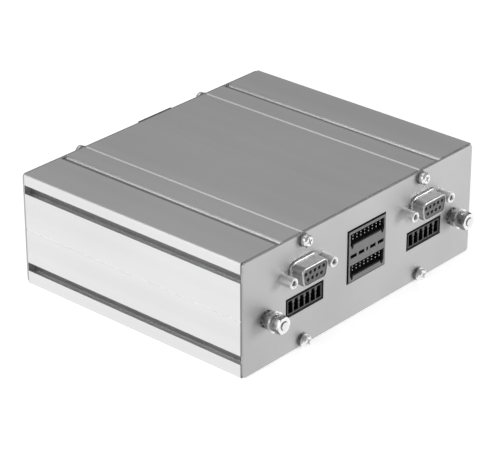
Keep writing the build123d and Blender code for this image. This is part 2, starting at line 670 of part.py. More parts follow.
def stack_pins():
    """Every pin of the two storeys, with the tails of each row one step apart."""
    pins = []
    half = STACK_PIN_SIZE / 2
    back = STACK_FACE + STACK_DEPTH
    row = STACK_TAILS
    for top in stack_cavity_tops():
        for i, (x, z) in enumerate(stack_pin_places(top)):
            tail_row = row - i // STACK_WAYS
            pin = block(x - half, x + half, STACK_FACE + STACK_PIN_RECESS, back, z - half, z + half)
            pins.append(pin + bent_tail(x, z, back, back + tail_row * STACK_TAIL_STEP, LOWER_BOARD_BOTTOM,
                                        STACK_PIN_SIZE))
        row -= len(STACK_ROW_DROPS)
    return pins


# Earth studs, drawn on the front plate


def stud(x, z):
    """A threaded rod through the plate."""
    tip = FRONT - STUD_STACK - STUD_END
    rod = ring(x, z, STUD_RADIUS, tip, FRONT + PLATE_THICKNESS + STUD_INNER_LENGTH)
    return chamfer(rod.edges().group_by(Axis.Y)[0], STUD_END * 0.8)


def stud_nut(x, z, seat, height):
    """A hexagon nut with its corners turned off in front."""
    outline = Pos(x, z) * Rot(0, 0, STUD_NUT_TURN) * hexagon(STUD_NUT_ACROSS_FLATS)
    nut = along_y(outline, seat - height, seat)
    dome = ring(x, z, STUD_NUT_ACROSS_FLATS * 0.575, seat - height, seat)
    dome = chamfer(dome.edges().group_by(Axis.Y)[0], 0.4)
    return (nut & dome) - ring(x, z, STUD_RADIUS + STUD_BORE_GAP, seat - height, seat)


def tooth_washer(x, z):
    """The toothed washer that bites into the plate."""
    outline = Circle(TOOTH_WASHER_RADIUS) - Circle(STUD_RADIUS + STUD_BORE_GAP)
    tooth_gap = Pos(TOOTH_WASHER_RADIUS, 0) * Rectangle(2 * TOOTH_DEPTH, TOOTH_DEPTH)
    for i in range(TOOTH_COUNT):
        outline -= Rot(0, 0, i * 360 / TOOTH_COUNT) * tooth_gap
    return along_y(Pos(x, z) * outline, FRONT - TOOTH_WASHER_THICKNESS, FRONT)


def stud_base_nut(x, z):
    """The nut that clamps the stud to the plate."""
    return stud_nut(x, z, FRONT - TOOTH_WASHER_THICKNESS, STUD_NUT_HEIGHT)


def terminal_washer(x, z):
    """The flat washer that a ring terminal is pressed against."""
    outline = Circle(TERMINAL_WASHER_RADIUS) - Circle(STUD_RADIUS + STUD_BORE_GAP)
    return along_y(Pos(x, z) * outline, BASE_NUT_FACE - TERMINAL_WASHER_THICKNESS, BASE_NUT_FACE)


def spring_washer(x, z):
    """The split washer under the outer nut."""
    outline = Circle(SPRING_WASHER_RADIUS) - Circle(STUD_RADIUS + STUD_BORE_GAP)
    outline -= Pos(SPRING_WASHER_RADIUS / 2, 0) * Rectangle(SPRING_WASHER_RADIUS, LOCK_WASHER_SPLIT)
    seat = BASE_NUT_FACE - TERMINAL_WASHER_THICKNESS
    return along_y(Pos(x, z) * Rot(0, 0, 70) * outline, seat - SPRING_WASHER_THICKNESS, seat)


def stud_outer_nut(x, z):
    """The nut that holds a ring terminal."""
    return stud_nut(x, z, FRONT - STUD_STACK + STUD_NUT_HEIGHT, STUD_NUT_HEIGHT)


def stud_back_nut(x, z):
    """The thin nut behind the plate."""
    return stud_nut(x, z, FRONT + PLATE_THICKNESS + STUD_BACK_NUT_HEIGHT, STUD_BACK_NUT_HEIGHT)


def at_each_stud(make):
    """One piece at each of the four studs, two in front and two at the rear."""
    front = [make(FRONT_STUDS_MID_X + side * FRONT_STUD_SPREAD, FRONT_STUD_Z) for side in (-1, 1)]
    rear = [make(-REAR_STUDS_MID_X + side * REAR_STUD_SPREAD, REAR_STUD_Z) for side in (-1, 1)]
    return front + [turned_round(piece) for piece in rear]


# Supply header, drawn as if it stood in the front plate and then turned to the rear


def supply_cells():
    """Centres of the cells, in the front plate's frame."""
    xs = [-SUPPLY_X + (i - (SUPPLY_WAYS - 1) / 2) * SUPPLY_PITCH for i in range(SUPPLY_WAYS)]
    zs = [UPPER_BOARD_TOP + (k + 0.5) * SUPPLY_STOREY_HEIGHT for k in range(SUPPLY_STOREYS)]
    return [(x, z) for z in zs for x in xs]


def supply_header():
    """A black two-storey moulding with one cell to each way."""
    face = FRONT - SUPPLY_REACH
    mid_z = UPPER_BOARD_TOP + SUPPLY_HEIGHT / 2
    body = along_y(tub(-SUPPLY_X, mid_z, SUPPLY_WIDTH, SUPPLY_HEIGHT), face, face + SUPPLY_DEPTH)
    cell_width = SUPPLY_PITCH - SUPPLY_WALL
    cell_height = SUPPLY_STOREY_HEIGHT - 2 * SUPPLY_WALL
    for x, z in supply_cells():
        body -= along_y(tub(x, z, cell_width, cell_height), face, face + SUPPLY_CAVITY_DEPTH)
        body -= along_y(tub(x, z, SUPPLY_PIN_SIZE, SUPPLY_PIN_SIZE), face, face + SUPPLY_DEPTH)
    return turned_round(body)


def supply_pins():
    """A blade in each cell, with its tail through the upper board."""
    half = SUPPLY_PIN_SIZE / 2
    face = FRONT - SUPPLY_REACH
    back = face + SUPPLY_DEPTH
    pins = []
    for i, (x, z) in enumerate(supply_cells()):
        storey = i // SUPPLY_WAYS
        pin = block(x - half, x + half, face + SUPPLY_PIN_RECESS, back, z - half, z + half)
        tail = bent_tail(x, z, back, back + (storey + 1) * TAIL_STEP, UPPER_BOARD_BOTTOM, SUPPLY_PIN_SIZE)
        pins.append(turned_round(pin + tail))
    return pins


# Boards


def tail_holes(places, size, board_bottom):
    """Plated holes that the tails pass through."""
    cuts = [block(x - size / 2, x + size / 2, y - size, y, board_bottom, board_bottom + BOARD_THICKNESS)
            for x, y in places]
    return cuts


def board_blank(top):
    """A board that fills the guides, with the spacers' screw holes."""
    half = INNER_X - GUIDE_PLAY
    board = block(-half, half, -BOARD_END, BOARD_END, top - BOARD_THICKNESS, top)
    for x, y in SPACER_PLACES:
        board -= upright(Pos(x, y) * Circle(SPACER_BORE_RADIUS), top - BOARD_THICKNESS, top)
    return board


def lower_board():
    """The control board, which carries the terminal and two-storey headers."""
    board = board_blank(LOWER_BOARD_TOP)
    header_tail = HEADER_FACE + HEADER_DEPTH + TAIL_STEP
    header_holes = [(pin_x, header_tail) for x in HEADER_XS for pin_x in header_pin_xs(x)]
    board -= tail_holes(header_holes, HEADER_PIN_SIZE, LOWER_BOARD_BOTTOM)
    pin_xs = sorted({x for x, _ in stack_pin_places(STACK_TOP)})
    back = STACK_FACE + STACK_DEPTH
    stack_holes = [(x, back + (row + 1) * STACK_TAIL_STEP) for row in range(STACK_TAILS) for x in pin_xs]
    return board - tail_holes(stack_holes, STACK_PIN_SIZE, LOWER_BOARD_BOTTOM)


def upper_board():
    """The power board, notched round the two-storey header."""
    board = board_blank(UPPER_BOARD_TOP)
    notch_half = STACK_WIDTH / 2 + CUTOUT_GAP
    notch_back = STACK_FACE + STACK_DEPTH + (STACK_TAILS + 1) * STACK_TAIL_STEP
    board -= block(STACK_MID_X - notch_half, STACK_MID_X + notch_half, -BOARD_END, notch_back,
                   UPPER_BOARD_BOTTOM, UPPER_BOARD_TOP)
    back = FRONT + PLATE_THICKNESS + FLANGE_THICKNESS + INSULATOR_BACK_DEPTH
    contact_holes = [(x + dx, back + TAIL_SIZE + (2 - row) * TAIL_STEP)
                     for x in SERIAL_XS for dx, _, row in contact_places()]
    board -= tail_holes(contact_holes, TAIL_SIZE, UPPER_BOARD_BOTTOM)
    supply_back = FRONT - SUPPLY_REACH + SUPPLY_DEPTH
    for i, (x, _) in enumerate(supply_cells()):
        y = supply_back + (i // SUPPLY_WAYS + 1) * TAIL_STEP
        hole = tail_holes([(x, y)], SUPPLY_PIN_SIZE, UPPER_BOARD_BOTTOM)[0]
        board -= turned_round(hole)
    return board


def board_spacer(x, y):
    """A hexagon spacer between the boards."""
    outline = hexagon(SPACER_ACROSS_FLATS) - Circle(SPACER_BORE_RADIUS)
    return upright(Pos(x, y) * outline, LOWER_BOARD_TOP, UPPER_BOARD_BOTTOM)


def board_screws(x, y):
    """The screws at the two ends of a spacer."""
    head = Pos(x, y) * Circle(SCREW_HEAD_RADIUS)
    shank = Pos(x, y) * Circle(SCREW_SHANK_RADIUS)
    top, bottom = UPPER_BOARD_TOP, LOWER_BOARD_BOTTOM
    upper = upright(head, top, top + BOARD_SCREW_HEAD_HEIGHT)
    upper += upright(shank, UPPER_BOARD_BOTTOM - BOARD_SCREW_REACH, top)
    lower = upright(head, bottom - BOARD_SCREW_HEAD_HEIGHT, bottom)
    lower += upright(shank, bottom, LOWER_BOARD_TOP + BOARD_SCREW_REACH)
    return [upper, lower]


# Parts on the lower board


def package(x, y, length, width, height, base):
    """A moulded chip package with a bevelled top edge."""
    body = block(x - length / 2, x + length / 2, y - width / 2, y + width / 2, base, base + height)
    return chamfer(body.edges().group_by(Axis.Z)[-1], 0.25)


def processor():
    """The square processor with a lead skirt on its four sides."""
    body = package(0, 0, PROCESSOR_SIZE, PROCESSOR_SIZE, PROCESSOR_THICKNESS, LOWER_BOARD_TOP)
    half = PROCESSOR_SIZE / 2 + PROCESSOR_LEAD_REACH
    inner = PROCESSOR_SIZE / 2 - PROCESSOR_LEAD_REACH
    for turn in range(4):
        leads = block(-inner, inner, -half, -PROCESSOR_SIZE / 2, LOWER_BOARD_TOP, LOWER_BOARD_TOP + 0.2)
        body += Rot(0, 0, 90 * turn) * leads
    return body


def memory_chips():
    """Two memory packages beside the processor."""
    return [package(side * MEMORY_X, 0, MEMORY_WIDTH, MEMORY_LENGTH, MEMORY_THICKNESS, LOWER_BOARD_TOP)
            for side in (-1, 1)]


def logic_chips():
    """Six small packages in a row behind the processor."""
    return [package((i - 2.5) * 2 * CHIP_WIDTH, PROCESSOR_SIZE, CHIP_WIDTH, CHIP_LENGTH, CHIP_THICKNESS,
                    LOWER_BOARD_TOP) for i in range(6)]


def transceivers():
    """Line drivers behind each terminal header."""
    return [package(x + side * CHIP_LENGTH, -BOARD_END / 2, CHIP_LENGTH, CHIP_WIDTH, CHIP_THICKNESS,
                    LOWER_BOARD_TOP) for x in HEADER_XS for side in (-1, 1)]


def crystal():
    """The clock crystal in its round-ended can."""
    outline = Pos(0, -PROCESSOR_SIZE) * SlotOverall(CRYSTAL_LENGTH, CRYSTAL_WIDTH)
    return upright(outline, LOWER_BOARD_TOP, LOWER_BOARD_TOP + CRYSTAL_HEIGHT)


def link_header():
    """The pin base that joins the boards."""
    half = LINK_WAYS * LINK_PITCH / 2
    return block(-half, half, LINK_Y - LINK_WIDTH / 2, LINK_Y + LINK_WIDTH / 2,
                 LOWER_BOARD_TOP, LOWER_BOARD_TOP + LINK_BASE_HEIGHT)


def link_socket():
    """The socket strip that reaches down from the upper board."""
    half = LINK_WAYS * LINK_PITCH / 2
    return block(-half, half, LINK_Y - LINK_WIDTH / 2, LINK_Y + LINK_WIDTH / 2,
                 LOWER_BOARD_TOP + LINK_BASE_HEIGHT, UPPER_BOARD_BOTTOM)


# Parts on the upper board


def transistor_places():
    """Centres of the power transistors, two rows under the heat spreader."""
    xs = [(i - (TRANSISTOR_COLUMNS - 1) / 2) * TRANSISTOR_PITCH for i in range(TRANSISTOR_COLUMNS)]
    return [(x, side * TRANSISTOR_ROW_PITCH / 2) for side in (-1, 1) for x in xs]


def power_transistors():
    """Flat transistors, each with a tab behind its body."""
    parts = []
    for x, y in transistor_places():
        body = package(x, y, TRANSISTOR_LENGTH, TRANSISTOR_WIDTH, TRANSISTOR_HEIGHT, UPPER_BOARD_TOP)
        parts.append(body)
    return parts


def spreader_size():
    """The footprint that covers every transistor."""
    return ((TRANSISTOR_COLUMNS - 1) * TRANSISTOR_PITCH + TRANSISTOR_LENGTH, TRANSISTOR_ROW_PITCH + TRANSISTOR_WIDTH)


def thermal_pad():
    """The soft pad between the transistors and the heat spreader."""
    length, width = spreader_size()
    base = UPPER_BOARD_TOP + TRANSISTOR_HEIGHT
    return block(-length / 2, length / 2, -width / 2, width / 2, base, base + THERMAL_PAD_THICKNESS)


def heat_spreader():
    """An I-shaped bar that leads the heat up to the housing's top wall."""
    length, width = spreader_size()
    base = UPPER_BOARD_TOP + TRANSISTOR_HEIGHT + THERMAL_PAD_THICKNESS
    top = CEILING
    foot = block(-length / 2, length / 2, -width / 2, width / 2, base, base + SPREADER_FOOT_HEIGHT)
    web = block(-length / 2, length / 2, -SPREADER_WEB / 2, SPREADER_WEB / 2, base, top)
    free = PORT_X - PORT_RADIUS - 1.0
    head = block(-free, free, -width / 2, width / 2, top - SPREADER_FOOT_HEIGHT, top)
    bar = foot + web + head
    for x in (-PORT_X, PORT_X):
        bar -= ring(x, PROFILE_HEIGHT - PORT_INSET, PORT_RADIUS + 0.5, -width / 2, width / 2)
    return bar


def gate_drivers():
    """A driver chip before each pair of transistors."""
    y = -(TRANSISTOR_ROW_PITCH / 2 + TRANSISTOR_WIDTH)
    return [package(x, y, CHIP_WIDTH, CHIP_WIDTH, CHIP_THICKNESS, UPPER_BOARD_TOP)
            for x, side_y in transistor_places() if side_y < 0]


def current_shunts():
    """Shunt resistors behind the transistors."""
    y = TRANSISTOR_ROW_PITCH / 2 + TRANSISTOR_WIDTH / 2 + SHUNT_SIZE[1]
    return [package(x, y, SHUNT_SIZE[0], SHUNT_SIZE[1], SHUNT_SIZE[2], UPPER_BOARD_TOP)
            for x, side_y in transistor_places() if side_y > 0]


def bulk_capacitors():
    """Electrolytic cans with a rolled lip above the base."""
    cans = []
    for i in range(CAPACITOR_COUNT):
        x = -SPACER_X + SPACER_ACROSS_FLATS + CAPACITOR_RADIUS + i * CAPACITOR_PITCH
        can = upright(Pos(x, CAPACITOR_Y) * Circle(CAPACITOR_RADIUS), UPPER_BOARD_TOP,
                      UPPER_BOARD_TOP + CAPACITOR_HEIGHT)
        can = chamfer(can.edges().group_by(Axis.Z)[-1], CAPACITOR_BEVEL)
        lip = Circle(CAPACITOR_RADIUS) - Circle(CAPACITOR_RADIUS - 0.5)
        can -= upright(Pos(x, CAPACITOR_Y) * lip, UPPER_BOARD_TOP + 1.6, UPPER_BOARD_TOP + 2.6)
        cans.append(can)
    return cans


def inductor_core(x, y):
    """A drum core with two flanges."""
    base, top = UPPER_BOARD_TOP, UPPER_BOARD_TOP + INDUCTOR_HEIGHT
    flange = Pos(x, y) * Circle(INDUCTOR_RADIUS)
    core = upright(flange, base, base + INDUCTOR_FLANGE) + upright(flange, top - INDUCTOR_FLANGE, top)
    return core + upright(Pos(x, y) * Circle(INDUCTOR_CORE_RADIUS), base, top)


def inductor_winding(x, y):
    """The copper between the drum's flanges."""
    outline = Circle(WINDING_RADIUS) - Circle(INDUCTOR_CORE_RADIUS + GUIDE_PLAY)
    return upright(Pos(x, y) * outline, UPPER_BOARD_TOP + INDUCTOR_FLANGE,
                   UPPER_BOARD_TOP + INDUCTOR_HEIGHT - INDUCTOR_FLANGE)


def input_fuse(x, y):
    """A cartridge fuse lying along Y."""
    z = UPPER_BOARD_TOP + FUSE_RISE
    fuse = ring(x, z, FUSE_RADIUS - 0.2, y - FUSE_LENGTH / 2, y + FUSE_LENGTH / 2)
    for side in (-1, 1):
        outer = y + side * FUSE_LENGTH / 2
        inner = outer - side * FUSE_CAP_LENGTH
        fuse += ring(x, z, FUSE_RADIUS, min(outer, inner), max(outer, inner))
    return fuse


def fuse_clips(x, y):
    """The two sprung clips that hold the fuse's caps."""
    z = UPPER_BOARD_TOP + FUSE_RISE
    clips = []
    for side in (-1, 1):
        mid = y + side * (FUSE_LENGTH - FUSE_CAP_LENGTH) / 2
        y0, y1 = mid - CLIP_WIDTH / 2, mid + CLIP_WIDTH / 2
        outer = FUSE_RADIUS + GUIDE_PLAY + CLIP_WALL
        clip = ring(x, z, outer, y0, y1)
        clip += block(x - outer, x + outer, y0, y1, UPPER_BOARD_TOP, z)
        clip -= block(x - outer + CLIP_WALL, x + outer - CLIP_WALL, y0, y1, UPPER_BOARD_TOP + CLIP_WALL, z)
        clip -= ring(x, z, FUSE_RADIUS + GUIDE_PLAY, y0, y1)
        clip -= block(x - FUSE_RADIUS / 2, x + FUSE_RADIUS / 2, y0, y1, z, z + outer)
        clips.append(clip)
    return clips


# Write every piece

os.makedirs("parts", exist_ok=True)

save("extruded_housing", housing())
save("front_plate", front_plate())
save("rear_plate", rear_plate())

for piece_name, make in {"screws": plate_screw, "lock_washers": lock_washer, "flat_washers": flat_washer}.items():
    front_set = [make(x, z) for x, z in SCREW_PLACES]
    save(f"plate_{piece_name}", *front_set, *[turned_round(piece) for piece in front_set])

for side_name, socket_x, header_x in zip(("left", "right"), SERIAL_XS, HEADER_XS):
    save(f"{side_name}_socket_shell", serial_shell(socket_x))
    save(f"{side_name}_socket_insulator", serial_insulator(socket_x))
    save(f"{side_name}_socket_contacts", *[serial_contact(socket_x, *place) for place in contact_places()])
    save(f"{side_name}_socket_brackets", *[serial_bracket(socket_x, end) for end in (-1, 1)])
    save(f"{side_name}_jack_posts", *[jack_post(socket_x, end) for end in (-1, 1)])
    save(f"{side_name}_terminal_header", terminal_header(header_x))
    save(f"{side_name}_terminal_pins", *[terminal_pin(pin_x) for pin_x in header_pin_xs(header_x)])

save("stacked_header_body", stack_body())
save("stacked_header_shrouds", *[stack_shroud(top) for top in stack_cavity_tops()])
save("stacked_header_pins", *stack_pins())

save("earth_studs", *at_each_stud(stud))
save("stud_tooth_washers", *at_each_stud(tooth_washer))
save("stud_base_nuts", *at_each_stud(stud_base_nut))
save("stud_flat_washers", *at_each_stud(terminal_washer))
save("stud_spring_washers", *at_each_stud(spring_washer))
save("stud_outer_nuts", *at_each_stud(stud_outer_nut))
save("stud_back_nuts", *at_each_stud(stud_back_nut))

save("supply_header", supply_header())
save("supply_pins", *supply_pins())

save("lower_board", lower_board())
save("upper_board", upper_board())
save("board_spacers", *[board_spacer(x, y) for x, y in SPACER_PLACES])
save("board_screws", *[screw for x, y in SPACER_PLACES for screw in board_screws(x, y)])
save("processor", processor())
save("memory_chips", *memory_chips())
save("logic_chips", *logic_chips())
save("line_transceivers", *transceivers())
save("clock_crystal", crystal())
save("board_link_header", link_header())
save("board_link_socket", link_socket())

save("power_transistors", *power_transistors())
save("thermal_pad", thermal_pad())
save("heat_spreader", heat_spreader())
save("gate_drivers", *gate_drivers())
save("current_shunts", *current_shunts())
save("bulk_capacitors", *bulk_capacitors())
INDUCTOR_PLACE = (40.0, CAPACITOR_Y)
save("inductor_core", inductor_core(*INDUCTOR_PLACE))
save("inductor_winding", inductor_winding(*INDUCTOR_PLACE))
FUSE_PLACE = (54.0, CAPACITOR_Y)
save("input_fuse", input_fuse(*FUSE_PLACE))
save("fuse_clips", *fuse_clips(*FUSE_PLACE))
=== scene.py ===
import bpy
from math import cos, radians, sin
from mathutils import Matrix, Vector


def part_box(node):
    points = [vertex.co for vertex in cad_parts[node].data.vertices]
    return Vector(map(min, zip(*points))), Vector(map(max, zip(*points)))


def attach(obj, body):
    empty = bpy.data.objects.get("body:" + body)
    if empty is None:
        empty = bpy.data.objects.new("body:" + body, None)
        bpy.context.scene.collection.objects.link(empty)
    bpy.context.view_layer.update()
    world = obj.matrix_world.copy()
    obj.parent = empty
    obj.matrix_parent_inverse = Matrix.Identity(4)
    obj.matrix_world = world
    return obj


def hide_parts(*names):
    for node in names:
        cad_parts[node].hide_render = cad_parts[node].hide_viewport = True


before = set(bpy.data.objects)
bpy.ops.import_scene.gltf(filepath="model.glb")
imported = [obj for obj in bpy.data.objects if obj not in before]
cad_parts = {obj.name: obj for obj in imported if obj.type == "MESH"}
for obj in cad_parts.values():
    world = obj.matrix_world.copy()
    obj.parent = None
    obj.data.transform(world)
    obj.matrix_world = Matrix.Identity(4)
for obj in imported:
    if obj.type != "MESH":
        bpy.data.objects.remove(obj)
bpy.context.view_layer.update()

bpy.ops.object.select_all(action="DESELECT")


# Housing. One length of aluminium extrusion, blasted and clear anodised. The die leaves fine
# lines along it. The slots, the groove floors and the ends by the end plates get painted shade,
# and the sharp corners get a painted highlight.
def finish(name, colour, metallic, roughness):
    """A material with its even values on the shader's own sockets."""
    made = bpy.data.materials.new(name)
    made.use_nodes = True
    shader = made.node_tree.nodes["Principled BSDF"]
    shader.inputs["Base Color"].default_value = (*colour, 1)
    shader.inputs["Metallic"].default_value = metallic
    shader.inputs["Roughness"].default_value = roughness
    return made, made.node_tree, shader


def grain(tree, scale, stretch=(1, 1, 1), detail=3.0):
    """Noise in the object's own space, drawn out along one or two of its axes."""
    place = tree.nodes.new("ShaderNodeTexCoord")
    turn = tree.nodes.new("ShaderNodeMapping")
    turn.inputs["Scale"].default_value = stretch
    noise = tree.nodes.new("ShaderNodeTexNoise")
    noise.inputs["Scale"].default_value = scale
    noise.inputs["Detail"].default_value = detail
    tree.links.new(place.outputs["Object"], turn.inputs["Vector"])
    tree.links.new(turn.outputs["Vector"], noise.inputs["Vector"])
    return noise.outputs["Fac"]


def painted(shade):
    """The four numbers that a colour socket takes, from a grey or a colour."""
    return (*shade, 1) if isinstance(shade, tuple) else (shade, shade, shade, 1)


def shades(tree, factor, dark, light, at=(0.3, 0.7)):
    """A colour that goes from dark to light while the factor crosses the span given by at."""
    ramp = tree.nodes.new("ShaderNodeValToRGB")
    for element, place, shade in zip(ramp.color_ramp.elements, at, (dark, light)):
        element.position = place
        element.color = painted(shade)
    tree.links.new(factor, ramp.inputs["Fac"])
    return ramp.outputs["Color"]


def spread(tree, factor, first, last, at=(0.3, 0.7)):
    """A number that goes from first to last while the factor crosses the span given by at."""
    span = tree.nodes.new("ShaderNodeMapRange")
    span.inputs["From Min"].default_value, span.inputs["From Max"].default_value = at
    span.inputs["To Min"].default_value = first
    span.inputs["To Max"].default_value = last
    tree.links.new(factor, span.inputs["Value"])
    return span.outputs["Result"]


def mixed(tree, factor, under, over):
    """One colour laid over another as far as the factor says. Each is an output or a shade."""
    mix = tree.nodes.new("ShaderNodeMix")
    mix.data_type = "RGBA"
    first_colour, second_colour = mix.inputs[6], mix.inputs[7]
    tree.links.new(factor, mix.inputs["Factor"])
    for socket, shade in ((first_colour, under), (second_colour, over)):
        if isinstance(shade, (float, tuple)):
            socket.default_value = painted(shade)
        else:
            tree.links.new(shade, socket)
    return mix.outputs[2]


# Most finishes below lay a painted highlight along their sharp edges with this mask.
def sharp_edges(tree, reach):
    """1 on the sharp corners and 0 on the flats, where the rounded and the true normal agree."""
    rounded = tree.nodes.new("ShaderNodeBevel")
    rounded.samples = 4
    rounded.inputs["Radius"].default_value = reach
    flat = tree.nodes.new("ShaderNodeNewGeometry")
    match = tree.nodes.new("ShaderNodeVectorMath")
    match.operation = "DOT_PRODUCT"
    tree.links.new(rounded.outputs["Normal"], match.inputs[0])
    tree.links.new(flat.outputs["True Normal"], match.inputs[1])
    return spread(tree, match.outputs["Value"], 1.0, 0.0, at=(0.8, 0.99))


def reckon(tree, kind, first, second=0.0):
    """One step of arithmetic on outputs or plain numbers."""
    step = tree.nodes.new("ShaderNodeMath")
    step.operation = kind
    for socket, value in ((step.inputs[0], first), (step.inputs[1], second)):
        if isinstance(value, float):
            socket.default_value = value
        else:
            tree.links.new(value, socket)
    return step.outputs["Value"]


def along(tree, axis, reading="Object"):
    """A point's place along one axis of the object, or how far its surface faces that way."""
    place = tree.nodes.new("ShaderNodeTexCoord")
    split = tree.nodes.new("ShaderNodeSeparateXYZ")
    tree.links.new(place.outputs[reading], split.inputs["Vector"])
    return split.outputs[axis]


def away_from(tree, value, middle):
    """How far a value lies from a middle, to either side."""
    return reckon(tree, "ABSOLUTE", reckon(tree, "SUBTRACT", value, middle))


def lay(tree, shader, colour, roughness):
    """Lead a colour and a roughness to the shader."""
    tree.links.new(colour, shader.inputs["Base Color"])
    tree.links.new(roughness, shader.inputs["Roughness"])


def relief(tree, shader, factor, depth, strength):
    """Small heights on the surface, in metres."""
    bump = tree.nodes.new("ShaderNodeBump")
    bump.inputs["Distance"].default_value = depth
    bump.inputs["Strength"].default_value = strength
    tree.links.new(factor, bump.inputs["Height"])
    tree.links.new(bump.outputs["Normal"], shader.inputs["Normal"])


def dress(made, *names):
    """Give CAD nodes their finish."""
    for name in names:
        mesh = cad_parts[name].data
        mesh.materials.clear()
        mesh.materials.append(made)


half_width, half_length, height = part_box("extruded_housing")[1]
half_height = height / 2
slot_reach = 0.015                      # the side slots lie no deeper than this
slot_shade = (0.0013, 0.0001)           # depths under a side between which the painted shade in a slot comes in
slot_darkness = 0.5
groove_line = 0.0519                    # from the middle to the middle of a groove
groove_band_half = 0.0011               # the band of painted shade along a groove's floor
groove_shade = (0.00097, 0.00085)       # depths under the top between which the painted shade on a groove floor comes in
groove_darkness = 1.35
hollow_shade_cover = 0.75
joint_shade_reach = 0.0003                        # how far the painted shade at the joint with the end plates reaches in
side_line_half = 0.0004                 # the fine line halfway up a side
side_line_band = 0.0005
side_line_shade = (0.00008, 0.00001)
screw_head_radius = 0.00275
port_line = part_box("plate_screws")[1].x - screw_head_radius
port_line_depth = 0.0005                # the V-shaped lines over the screw ports
port_line_shade = (0.00042, 0.0007)
port_line_cover = 0.6

anodised, tree, shader = finish("anodised_extrusion", (0.8, 0.8, 0.8), metallic=1.0, roughness=0.42)
die_lines = grain(tree, 900, stretch=(1, 0.0015, 1), detail=4)
cloud = grain(tree, 22, stretch=(1, 0.6, 1), detail=2)
streaks = grain(tree, 95, stretch=(1, 0.012, 1))
blasted = shades(tree, cloud, 0.77, 0.81)
streaked = mixed(tree, spread(tree, streaks, 0.0, 0.3, at=(0.45, 0.75)), blasted, over=0.93)
lined = mixed(tree, spread(tree, die_lines, 0.0, 0.05, at=(0.4, 0.8)), streaked, over=0.95)
# The sharp corners get a painted highlight.
edge_highlighted = mixed(tree, sharp_edges(tree, reach=0.00025), lined, over=0.92)
from_middle = reckon(tree, "ABSOLUTE", along(tree, "X"))
from_centre = reckon(tree, "ABSOLUTE", along(tree, "Y"))
from_mid_height = away_from(tree, along(tree, "Z"), half_height)

# Painted shade: the side slots darken inwards from their mouths, and the groove floors go dark.
slot_band = reckon(tree, "GREATER_THAN", from_middle, half_width - slot_reach)
slot_depths = [half_width - depth for depth in slot_shade]
darker_inwards = spread(tree, from_middle, slot_darkness, 0.0, at=slot_depths)
painted_slot_shade = reckon(tree, "MULTIPLY", slot_band, darker_inwards)
groove_band = reckon(tree, "LESS_THAN", away_from(tree, from_middle, groove_line), groove_band_half)
painted_groove_shade = reckon(tree, "MULTIPLY", groove_band, groove_darkness)
groove_depths = [half_height - depth for depth in groove_shade]
below_skin = spread(tree, from_mid_height, 1.0, 0.0, at=groove_depths)
painted_hollow_shade = reckon(tree, "MULTIPLY", reckon(tree, "ADD", painted_slot_shade, painted_groove_shade), below_skin)
with_hollow_shade = mixed(tree, reckon(tree, "MULTIPLY", painted_hollow_shade, hollow_shade_cover), edge_highlighted, over=0.32)
# Painted shade: a dark line along both ends, where the housing meets the end plates.
joint_shade = spread(tree, from_centre, 0.0, 1.0, at=(half_length - joint_shade_reach, half_length))
lay(tree, shader, colour=mixed(tree, joint_shade, with_hollow_shade, over=0.25),
    roughness=spread(tree, die_lines, 0.41, 0.45))

side_band = reckon(tree, "MULTIPLY", reckon(tree, "LESS_THAN", from_mid_height, side_line_half),
                   reckon(tree, "GREATER_THAN", from_middle, half_width - side_line_band))
side_depths = [half_width - depth for depth in side_line_shade]
deep_in_side = spread(tree, from_middle, 1.0, 0.0, at=side_depths)
side_line = reckon(tree, "MULTIPLY", side_band, deep_in_side)
outer_skin = reckon(tree, "GREATER_THAN", from_mid_height, half_height - port_line_depth)
from_port_line = away_from(tree, from_middle, port_line)
near_port_line = spread(tree, from_port_line, port_line_cover, 0.0, at=port_line_shade)
port_lines = reckon(tree, "MULTIPLY", outer_skin, near_port_line)
matt = reckon(tree, "ADD", side_line, port_lines)
tree.links.new(reckon(tree, "SUBTRACT", 1.0, matt), shader.inputs["Metallic"])
relief(tree, shader, grain(tree, 5200, stretch=(1, 0.25, 1), detail=2), depth=0.000012, strength=0.3)
dress(anodised, "extruded_housing")

# Circuit boards. Glass laminate under a green solder mask, with copper tracks that show through
# it as lighter lines. Both slide in the housing's guides, and four spacers hold them apart.
solder_mask, tree, shader = finish("solder_mask", (0.02, 0.16, 0.07), metallic=0.0, roughness=0.32)
place = tree.nodes.new("ShaderNodeTexCoord")
tracks = tree.nodes.new("ShaderNodeTexBrick")
tracks.inputs["Scale"].default_value = 210
tracks.inputs["Mortar Size"].default_value = 0.06
tracks.inputs["Color1"].default_value = (0.016, 0.13, 0.055, 1)
tracks.inputs["Color2"].default_value = (0.022, 0.17, 0.075, 1)
tracks.inputs["Mortar"].default_value = (0.05, 0.3, 0.14, 1)
tree.links.new(place.outputs["Object"], tracks.inputs["Vector"])
patches = spread(tree, grain(tree, 60), 0.0, 0.35)
lay(tree, shader, colour=mixed(tree, patches, tracks.outputs["Color"], over=(0.012, 0.1, 0.045)),
    roughness=spread(tree, grain(tree, 300), 0.26, 0.42))
relief(tree, shader, tracks.outputs["Fac"], depth=0.00003, strength=0.6)
dress(solder_mask, "lower_board", "upper_board")

# Spacers and board screws. Turned steel with bright zinc plating, a little uneven in tone, with
# fine turning marks on the faces.
zinc_plate, tree, shader = finish("bright_zinc", (0.84, 0.84, 0.82), metallic=1.0, roughness=0.24)
bloom = grain(tree, 520, detail=4)
# The edges get a painted highlight.
plating_and_edge_highlight = mixed(tree, sharp_edges(tree, reach=0.00018), shades(tree, bloom, 0.74, 0.9), over=0.96)
lay(tree, shader, colour=plating_and_edge_highlight, roughness=spread(tree, bloom, 0.18, 0.36))
relief(tree, shader, grain(tree, 6000, stretch=(1, 1, 0.3)), depth=0.00001, strength=0.3)
dress(zinc_plate, "board_spacers", "board_screws")

